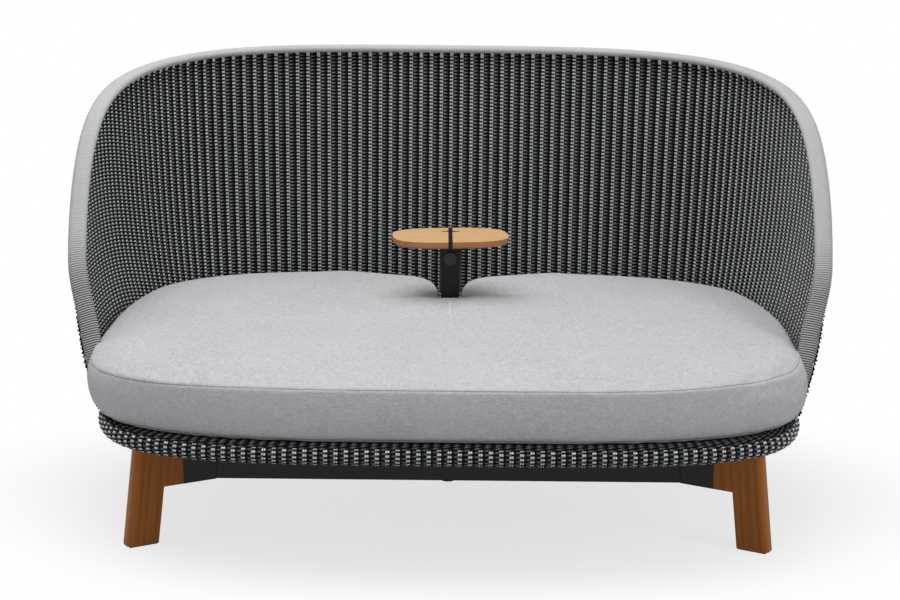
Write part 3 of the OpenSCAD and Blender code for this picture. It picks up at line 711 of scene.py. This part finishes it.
# %% Make the rim's finish
def wound_cord(name, winds):
    f = Finish(name)
    uv = f.node("ShaderNodeTexCoord", out="UV")
    at = f.place()
    share = f.axis(uv, "Y")
    along = share * winds
    shaded_ends = abs(share - 0.5).step(0.38, 0.43)
    groove_and_shade = 1 - along.ping(0.5).step(0.10 * shaded_ends, 0.15 + 0.23 * shaded_ends)
    fibre = ((f.axis(uv, "X") * 150 + along * 2.0) * (2 * math.pi)).sine() * 0.5 + 0.5
    fleck = f.noise(at, 380, 3, 0.7)
    cloud = f.noise(at, 11, 3)
    colour = f.mix(fleck * 0.5 + cloud * 0.5, tone(178, 179, 180), tone(206, 206, 204))
    colour = f.mix(fibre * 0.12, colour, tone(140, 140, 143))
    # painted shade: the cord darker towards the rim's low ends
    colour = f.mix(shaded_ends * 0.3, colour, tone(124, 124, 122))
    # painted shade: a dark line in each groove, wider and darker towards the ends
    colour = f.mix(groove_and_shade * (0.42 + 0.5 * shaded_ends), colour, tone(24, 25, 26))
    return f.close(Base_Color=colour, Roughness=0.62 + 0.12 * fleck,
                   Normal=f.bump(fibre * 0.3 + fleck * 0.4 - groove_and_shade * 0.5, 0.00018, 0.6),
                   Specular_IOR_Level=0.3)


rim_finish = wound_cord("wound_rim_cord", WINDS)
finish_piece(rim_winding, rim_finish, "frame", "rim_cord", "rim_binding")

# %% [markdown]
# ## The cushion
# One boxed foam cushion fills the pan. It is a top panel, a bottom panel and a band, sewn along the
# edges, with a joining seam down the middle of the top and a notch at the back round the post.
# Foam under a fitted cover barely bulges, so the shape starts from the CAD solid, remeshed evenly,
# and Blender's Cloth with pressure fills the panels while the sewn lines hold. Left alone, that
# pressure would lift the cover by almost 50 mm, so what it moves is capped at 7 mm: it adds the
# fullness between the seams, and the main form stays the solid's.

# %% The sewn lines
NOTCH_RADIUS, POST_OFFSET, MOUTH_HALF = 0.0255, 0.218, 0.225
CUSHION_BACK, CUSHION_FRONT, CUSHION_HALF, CUSHION_SQUARE = 0.587, 0.442, 0.749, 3.6
BOTTOM_SEAM, VOXEL, CAP = 0.3010, 0.0075, 0.007
CUSHION_CENTER = Vector((0, SEAT_Y - 0.070))
MOUTH = math.degrees(math.atan2(MOUTH_HALF, CUSHION_BACK))


def cushion_half_outline():
    """The right half of the plan: round the post, along the notch to its mouth, then round the outside."""
    quarter_turn = [math.radians(a) for a in range(0, 90, 10)]
    points = [(NOTCH_RADIUS * math.sin(a), POST_OFFSET - NOTCH_RADIUS * math.cos(a)) for a in quarter_turn]
    for k in range(57):
        y = POST_OFFSET + (CUSHION_BACK - POST_OFFSET) * k / 60.8
        share = (y - POST_OFFSET) / (CUSHION_BACK - POST_OFFSET)
        points.append((NOTCH_RADIUS + (MOUTH_HALF - NOTCH_RADIUS) * share ** 2.8, y))
    for k in range(721):
        t = math.radians(MOUTH + 4 + (176 - MOUTH) * k / 720)
        depth = CUSHION_BACK if math.cos(t) > 0 else CUSHION_FRONT
        across, along = abs(math.sin(t) / CUSHION_HALF), abs(math.cos(t) / depth)
        r = (across ** CUSHION_SQUARE + along ** CUSHION_SQUARE) ** (-1 / CUSHION_SQUARE)
        points.append((r * math.sin(t), r * math.cos(t)))
    return points


def near_post(x, y, z):
    """How far the top stands above the plain solid near the post, where two lobes press up."""
    if z < 0.39:
        return 0.0
    left = 1.0 if x < 0 else 0.0
    crease = y - (0.102 + (0.38 - 0.20 * left) * abs(x))
    reach = math.exp(-(x / 0.12) ** 2) * math.exp(-(max(0.0, 0.10 - y) / 0.13) ** 2)
    valley = (1 - math.exp(-(x / 0.045) ** 2)) * math.exp(-(x / 0.32) ** 4)
    fold = math.exp(-(crease / (0.012 if crease < 0 else 0.105)) ** 2)
    full = (0.441 - z) * reach - 0.019 * valley * fold
    return full * min(1.0, (z - 0.39) / 0.018)


def settle(co):
    """The cushion's ends are rounder above, fuller below and at the front than the plain solid's."""
    side = math.copysign(1.0, co.x)
    end, high = ease(abs(co.x), 0.50, 0.745), ease(co.z, 0.360, 0.412)
    puff = 0.008 * math.exp(-((abs(co.x) - 0.70) / 0.07) ** 2 - ((co.y + 0.25) / 0.09) ** 2)
    bulge = 0.003 * ease(-co.y, 0.25, 0.31) * ease(co.z, 0.306, 0.335)
    return co + Vector((side * end * (0.006 - 0.010 * high + bulge) - 0.003 * ease(-co.y, -0.10, 0.15),
                        0, near_post(*co) + high * (puff - 0.008 * end * ease(abs(co.x), 0.66, 0.745))))


def sewn_line(scale, height):
    """A seam that runs round the cushion: each place, and the way from it into its panel."""
    found = []
    flat = [CUSHION_CENTER + (Vector((x, y + SEAT_Y)) - CUSHION_CENTER) * scale
            for x, y in cushion_half_outline()]
    for before, p, after in zip(flat, flat[1:], flat[2:]):
        along = (after - before).normalized()
        for side in (-1, 1):
            spot = settle(Vector((side * p.x, p.y, height)))
            if height > 0.4:   # the cover sits a little askew: its seam is lower on the left end
                spot.z += 0.013 * side * ease(abs(p.x), 0.35, 0.75) * ease(-p.y, 0.0, 0.25)
            found.append((spot, Vector((side * along.y, -along.x, 0))))
    return found


top_seam = sewn_line(0.997, SEAM_HEIGHT)
bottom_seam = sewn_line(0.985, BOTTOM_SEAM)
post_front = SEAT_Y + POST_OFFSET - NOTCH_RADIUS
front_y = min(p.y for p, _ in top_seam)
print("top seam has", len(top_seam), "places; middle seam", round(post_front - front_y, 3), "m")

# %% [markdown]
# A k-d tree answers "which sewn place is nearest" quickly. What the shader needs is a number that
# passes through nought at the seam: how far a point lies into its panel, less how far it lies down
# the band. The middle seam lies on X = 0, so X itself is that number.

# %% How far a point is from a seam
sewn_places = top_seam + bottom_seam
edge_tree = kdtree.KDTree(len(sewn_places))
for k, (spot, _) in enumerate(sewn_places):
    edge_tree.insert(spot, k)
edge_tree.balance()


def seam_distance(co):
    """Distance to the nearest edge seam, the same with its sign, and distance to the middle seam."""
    spot, k, far = edge_tree.find(co)
    step = co - spot
    signed = step.dot(sewn_places[k][1]) + (step.z if k < len(top_seam) else -step.z)
    on_top = co.z > SEAM_HEIGHT - 0.004 and front_y < co.y < post_front + 0.01
    return far, signed, abs(co.x) if on_top else 1.0

# %% Remesh the solid
def cushion_draft():
    bm = bmesh.new()
    bm.from_mesh(nodes["seat_cushion"].data)
    bmesh.ops.remove_doubles(bm, verts=bm.verts, dist=0.000005)
    draft = from_bmesh(bm, "cushion_draft", smooth=False)
    even = draft.modifiers.new("even", "REMESH")
    even.mode, even.voxel_size = "VOXEL", VOXEL
    return as_piece(draft, "cushion_even")


cushion = cushion_draft()
for v in cushion.data.vertices:
    v.co = settle(v.co)
rest = [v.co.copy() for v in cushion.data.vertices]
print("cushion remeshed to", len(rest), "points")

# %% Fill it with the Cloth simulation
def fill_out(piece, pressure, cap):
    """Cloth with pressure, sewn lines pinned, the result applied and capped."""
    pins = piece.vertex_groups.new(name="sewn")
    for v in piece.data.vertices:
        edge, _, middle = seam_distance(v.co)
        hold = max(0.0, 1 - edge / 0.014, 0.8 * (1 - middle / 0.010), 1.0 if v.co.z < 0.306 else 0.0)
        if hold > 0:
            pins.add([v.index], min(1.0, hold), "REPLACE")
    cloth = piece.modifiers.new("cloth", "CLOTH")
    cloth.settings.quality = 5
    cloth.settings.mass = 0.3
    cloth.settings.tension_stiffness = cloth.settings.compression_stiffness = 12
    cloth.settings.bending_stiffness = 0.8
    cloth.settings.vertex_group_mass = "sewn"
    cloth.settings.use_pressure = True
    cloth.settings.uniform_pressure_force = pressure
    cloth.settings.effector_weights.gravity = 0
    for number in range(1, 21):
        scene.frame_set(number)
    shown = piece.evaluated_get(bpy.context.evaluated_depsgraph_get())
    moved = [v.co.copy() for v in shown.data.vertices]
    piece.modifiers.remove(cloth)
    scene.frame_set(1)
    farthest = 0.0
    for v, old, new in zip(piece.data.vertices, rest, moved):
        step = new - old
        farthest = max(farthest, step.length)
        if step.length > 0:
            v.co = old + step * (cap * math.tanh(step.length / cap) / step.length)
    return farthest


print("cloth moved by at most", round(1000 * fill_out(cushion, 4.0, CAP), 1), "mm before the cap")

# %% [markdown]
# Foam is never perfectly flat, so a slow noise moves the top by a millimetre or two. Then one
# subdivision, and the sewn lines are drawn in by a millimetre and a half. The signed distance to the
# nearest seam is kept on each point, so that the fabric's shader can draw the stitching exactly.

# %% Waves, subdivision and drawn-in seams
for v in cushion.data.vertices:
    lift = max(0.0, min(1.0, (v.co.z - 0.39) / 0.02))
    if lift > 0:
        away = min(1.0, seam_distance(v.co)[0] / 0.06)
        swell = noise.noise(Vector((v.co.x * 3.2, v.co.y * 4.1, 3.7))) + 0.5 * noise.noise(v.co * 11)
        v.co.z += lift * away * 0.0018 * swell
fine = cushion.modifiers.new("fine", "SUBSURF")
fine.levels = fine.render_levels = 1
cushion.vertex_groups.clear()
cushion = as_piece(cushion, "seat_cushion_cover")
normals = [v.normal.copy() for v in cushion.data.vertices]
sewn = cushion.data.attributes.new("seam", "FLOAT", "POINT")
for v, normal, kept in zip(cushion.data.vertices, normals, sewn.data):
    edge, signed, middle = seam_distance(v.co)
    kept.value = 100 * (signed if edge < 0.03 else math.copysign(0.03, signed))
    pinch = max(0.0, 1 - abs(signed) / 0.006) ** 2 * 0.0016 if edge < 0.02 else 0.0
    v.co -= normal * (pinch + max(0.0, 1 - middle / 0.006) ** 2 * 0.0007)
cushion.data.shade_smooth()
print("cushion has", len(cushion.data.polygons), "faces")

# %% [markdown]
# ## Melange fabric
# Outdoor cushion cloth is woven from yarns dyed in several greys, so close up it is speckled and from
# afar it is a soft grey. Warp and weft are 0.8 mm apart. The weave must follow each panel, so
# the three pairs of axes are blended by which way the surface faces. The edge seam gets a thin dark
# line, broken by its stitches, and the middle seam a painted highlight on both lips, fading to the front.

# %% Make the fabric
def melange(name, pitch):
    f = Finish(name)
    at = f.place()
    x, y, z = (f.axis(at, n) for n in "XYZ")
    facing = f.node("ShaderNodeNewGeometry", out="Normal")
    up = abs(f.axis(facing, "Z")).step(0.35, 0.9)
    side = abs(f.axis(facing, "X")).step(0.45, 0.9)
    turn = 2 * math.pi / pitch
    sx, sy, sz = ((c * turn).sine() for c in (x, y, z))
    top, front, flank = sx * sy, sx * sz, sy * sz
    thread = top * up + (1 - up) * (flank * side + front * (1 - side))
    slub = (f.noise(f.place((70, 420, 420)), 1.0, 2, 0.6) * 0.5
            + f.noise(f.place((420, 70, 420)), 1.0, 2, 0.6) * 0.5)
    speck = f.noise(at, 620, 3, 0.75)
    cloud = f.noise(at, 7, 3)
    mottle = f.noise(at, 85, 4, 0.7)
    grey = f.ramp(speck * 0.32 + slub * 0.48 + mottle * 0.14 + cloud * 0.06,
                  (0.36, tone(164, 164, 167)), (0.5, tone(206, 206, 209)), (0.64, tone(230, 230, 232)))
    colour = f.mix((1 - thread) * 0.16, grey, tone(150, 150, 154))
    edge = f.node("ShaderNodeAttribute", {"attribute_name": "seam"}, out="Fac")
    line = 1 - abs(edge).step(0.08, 0.2)
    stitch = (x * 700).sine().step(-0.2, 0.4)
    # painted highlight on both lips of the middle seam, strongest near the post and fading to the front
    seam_lip_highlight = (1 - abs(x).step(0.0012, 0.0026)) * up * (1 - (y - post_front).step(0.0, 0.004))
    faint = (1 - abs(x).step(0.0004, 0.0011)) * up
    highlight_fade = (y - post_front + 0.20).step(0.0, 0.18)
    colour = f.mix(seam_lip_highlight * (0.2 + 0.6 * highlight_fade), colour, tone(238, 238, 240))
    colour = f.mix(line * (0.42 + 0.18 * stitch), colour, tone(80, 80, 84))
    colour = f.mix(faint * 0.2, colour, tone(120, 120, 124))
    relief = thread * 0.5 + slub * 0.5 + speck * 0.4 - line * 2.0 - faint * 1.4
    return f.close(Base_Color=colour, Roughness=0.86 + 0.08 * speck, Specular_IOR_Level=0.2,
                   Normal=f.bump(relief, 0.0003, 0.7), Sheen_Weight=0.12, Sheen_Roughness=0.5)


fabric = melange("melange_fabric", 0.0016)
finish_piece(cushion, fabric, "frame", "cushion_fabric", "seat_cushion")

# %% [markdown]
# ## Legs
# Each leg is a flat teak block that leans out by seven degrees, on an arm that turns 28.5
# degrees from the beam. The CAD solid has sharp edges. Sanded timber has edges eased by a couple of
# millimetres, which catch a thin light line, so a copy gets real rounded edges from a bevel.

# %% A copy with eased edges
def eased(node, name, width, segments=3, sharp=30):
    """A copy of a CAD node, its loose triangles merged, flats cleaned and edges rounded."""
    bm = bmesh.new()
    bm.from_mesh(nodes[node].data)
    bmesh.ops.remove_doubles(bm, verts=bm.verts, dist=0.00001)
    bmesh.ops.dissolve_limit(bm, angle_limit=math.radians(1), verts=bm.verts, edges=bm.edges)
    keep = [e for e in bm.edges if len(e.link_faces) == 2 and e.calc_face_angle() > math.radians(sharp)]
    bmesh.ops.bevel(bm, geom=keep, offset=width, offset_type="OFFSET", segments=segments, profile=0.5,
                    affect="EDGES", material=-1, clamp_overlap=True)
    piece = from_bmesh(bm, name)
    flat = piece.modifiers.new("flat", "WEIGHTED_NORMAL")
    flat.keep_sharp = True
    return piece


ARM_ANGLE, SPLAY = math.radians(28.5), math.radians(7)
for node, side, rear in (("leg_front_left", -1, 1), ("leg_front_right", 1, 1),
                         ("leg_rear_left", -1, -1), ("leg_rear_right", 1, -1)):
    outward = Vector((side * math.cos(ARM_ANGLE), -rear * math.sin(ARM_ANGLE), 0))
    down = (Vector((0, 0, -math.cos(SPLAY))) + outward * math.sin(SPLAY)).normalized()
    thick = down.cross(outward).normalized()
    wide = thick.cross(down).normalized()
    turn = Matrix((thick, wide, down)).to_euler("XYZ")
    wood = teak(node + "_teak", tuple(turn), (180, 107, 37), (139, 76, 24), (80, 44, 18))
    piece = eased(node, node + "_timber", 0.0025)
    finish_piece(piece, wood, "frame", "leg_timber", node)

# %% [markdown]
# ## The table's edges and its key
# The two halves have their upper and lower edges eased too, which draws a light line along the top.
# Between them, behind the middle, lies a black key; from above it is a slim lens with pointed ends.
# Two arcs that meet are a circle scaled down where it should be slim, with its ends drawn out.

# %% Ease the table and lay the key's cap
for node in ("table_left", "table_right"):
    finish_piece(eased(node, node + "_timber", 0.0014, 2), table_timber, "table_head", "table_timber", node)
CAP_LENGTH, CAP_WIDTH, CAP_THICK = 0.021, 0.0052, 0.0008   # half, half, whole
low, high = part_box("table_key")
key_middle = (Vector(low) + Vector(high)) / 2
bm = bmesh.new()
bmesh.ops.create_circle(bm, cap_ends=True, segments=48, radius=CAP_LENGTH)
for v in bm.verts:
    slim = CAP_WIDTH * (1 - abs(v.co.x / CAP_LENGTH) ** 1.6)
    v.co.y = math.copysign(slim, v.co.y) if abs(v.co.x) < 0.99 * CAP_LENGTH else 0.0
bmesh.ops.remove_doubles(bm, verts=bm.verts, dist=0.00002)
sole = bmesh.ops.extrude_face_region(bm, geom=bm.faces[:])
lifted = [e for e in sole["geom"] if isinstance(e, bmesh.types.BMVert)]
bmesh.ops.translate(bm, verts=lifted, vec=(0, 0, CAP_THICK))
bmesh.ops.translate(bm, verts=bm.verts, vec=(key_middle.x, key_middle.y, high[2] - 0.0002))
bmesh.ops.recalc_face_normals(bm, faces=bm.faces)
finish_piece(from_bmesh(bm, "key_cap", smooth=False), black_steel, "table_head", "black_steel")

# %% [markdown]
# ## Finishes for the CAD parts that stay
# Beams, arms, rails, post and hardware have the right shape already, so they keep their CAD meshes
# and only get their finishes. The nodes that other pieces replace are dressed as well, so that every
# node has a material.

# %% Dress the CAD parts
def dress(material, *names):
    for name in names:
        for slot in nodes[name].material_slots:
            slot.material = material
    print(material.name, "on", len(names), "parts")


def webbing(name):
    """The deck: flat dark straps, over and under, 50 mm wide."""
    f = Finish(name)
    at = f.place()
    x, y = f.axis(at, "X"), f.axis(at, "Y")
    over = ((x * (math.pi / 0.05)).sine() * (y * (math.pi / 0.05)).sine()).step(-0.05, 0.05)
    ribs = (x * 2400).sine() * over + (y * 2400).sine() * (1 - over)
    cloud = f.noise(at, 20, 3)
    colour = f.mix(cloud, tone(34, 35, 37), tone(52, 53, 55))
    colour = f.mix(over * 0.3, colour, tone(66, 67, 70))
    return f.close(Base_Color=colour, Roughness=0.66 + 0.1 * cloud,
                   Normal=f.bump(ribs + over * 2, 0.0002, 0.6))


deck_webbing = webbing("deck_webbing")
dress(deck_webbing, "seat_deck")
dress(dark_cord, "back_weave", "pan_weave")
dress(rim_finish, "rim_binding")
dress(fabric, "seat_cushion")
dress(table_timber, "table_left", "table_right")
dress(plain_steel, "leg_bolts", "rail_bolts", "table_screws", "knob_stud")
dress(black_plastic, "lock_knob")
dress(pale_plastic, "lower_bush", "upper_bush", "thrust_washer")
dress(black_rubber, "leg_glides", "post_foot")
dress(table_timber, "leg_front_left", "leg_front_right", "leg_rear_left", "leg_rear_right")
dress(black_steel, "front_beam", "rear_beam", "center_cross", "arm_front_left", "arm_front_right",
      "arm_rear_left", "arm_rear_right", "left_rail", "center_rail", "right_rail", "front_bearer",
      "middle_bearer", "rear_bearer", "seat_ring", "rim_tube", "post_tube", "post_support",
      "table_sleeve", "table_flange", "table_bar", "table_key")

# %% [markdown]
# ## Floor
# A pale studio floor that fades into white. Seen by the camera it is plain white with about a quarter
# of its lit self near the daybed and none a little farther out, so it stays white in the open and
# keeps a soft shadow. For all other rays it is an ordinary pale floor, which sends light back up.

# %% Lay the floor
bm = bmesh.new()
bmesh.ops.create_grid(bm, x_segments=4, y_segments=4, size=14)
floor = from_bmesh(bm, "studio_floor", smooth=False)
f = Finish("studio_floor")
by_camera, by_gloss = (f.node("ShaderNodeLightPath", out=kind) for kind in ("Is Camera Ray", "Is Glossy Ray"))
seen = by_camera + by_gloss
at = f.place()
far = ((f.axis(at, "X") * 0.75) ** 2 + (f.axis(at, "Y") * 1.3) ** 2) ** 0.5
pale = f.node("ShaderNodeBsdfDiffuse", {}, {"Color": (0.60, 0.60, 0.60, 1)})
glow = f.node("ShaderNodeEmission", {}, {"Color": (1, 1, 1, 1), "Strength": 1.0})
lit = f.node("ShaderNodeBsdfDiffuse", {}, {"Color": (1, 1, 1, 1)})
look = f.node("ShaderNodeMixShader", {}, {0: 0.28 * (1 - far.step(0.5, 1.05)), 1: glow, 2: lit})
whole = f.node("ShaderNodeMixShader", {}, {0: seen, 1: pale, 2: look})
out = f.tree.nodes.new("ShaderNodeOutputMaterial")
f.tree.links.new(whole.socket, out.inputs["Surface"])
floor.data.materials.append(f.material)

# %% [markdown]
# ## Light
# Plain studio light: an even white room, one large soft lamp above and slightly in front, a weaker,
# cooler one from the right and a faint one from the left. The room looks white to the camera, and
# lights the object at a level where a colour renders about as it is written.

# %% Set the light
world = bpy.data.worlds.new("white_room")
scene.world = world
world.use_nodes = True
tree = world.node_tree
tree.nodes.clear()
path = tree.nodes.new("ShaderNodeLightPath")
seen = path.outputs["Is Camera Ray"]
for kind in ("Is Glossy Ray", "Is Transmission Ray"):
    either = tree.nodes.new("ShaderNodeMath")
    either.operation = "MAXIMUM"
    tree.links.new(seen, either.inputs[0])
    tree.links.new(path.outputs[kind], either.inputs[1])
    seen = either.outputs[0]
room = tree.nodes.new("ShaderNodeBackground")
room.inputs["Color"].default_value, room.inputs["Strength"].default_value = (0.96, 0.98, 1.0, 1), 0.34
white = tree.nodes.new("ShaderNodeBackground")
white.inputs["Color"].default_value, white.inputs["Strength"].default_value = (1, 1, 1, 1), 1.0
blend = tree.nodes.new("ShaderNodeMixShader")
out = tree.nodes.new("ShaderNodeOutputWorld")
tree.links.new(seen, blend.inputs[0])
tree.links.new(room.outputs[0], blend.inputs[1])
tree.links.new(white.outputs[0], blend.inputs[2])
tree.links.new(blend.outputs[0], out.inputs["Surface"])


def lamp(name, spot, aim, size, power):
    light = bpy.data.lights.new(name, "AREA")
    light.shape, light.size, light.energy = "DISK", size, power
    obj = bpy.data.objects.new(name, light)
    scene.collection.objects.link(obj)
    way = Vector(aim) - Vector(spot)
    obj.matrix_world = Matrix.Translation(spot) @ way.to_track_quat("-Z", "Y").to_matrix().to_4x4()
    obj.visible_camera = False
    return obj


lamp("overhead", (-0.4, -0.35, 3.4), (0, 0, 0.4), 3.0, 78)
lamp("right_side", (3.2, -2.2, 2.4), (0, 0, 0.5), 1.6, 28).data.color = (0.90, 0.95, 1.0)
lamp("left_side", (-3.4, -1.8, 1.9), (0, 0, 0.5), 1.6, 6)

# %% [markdown]
# ## Last step
# The scene is brought up to date once more. The dressed model may stand only a little proud
# of the CAD box.

# %% Bring the scene up to date
bpy.context.view_layer.update()
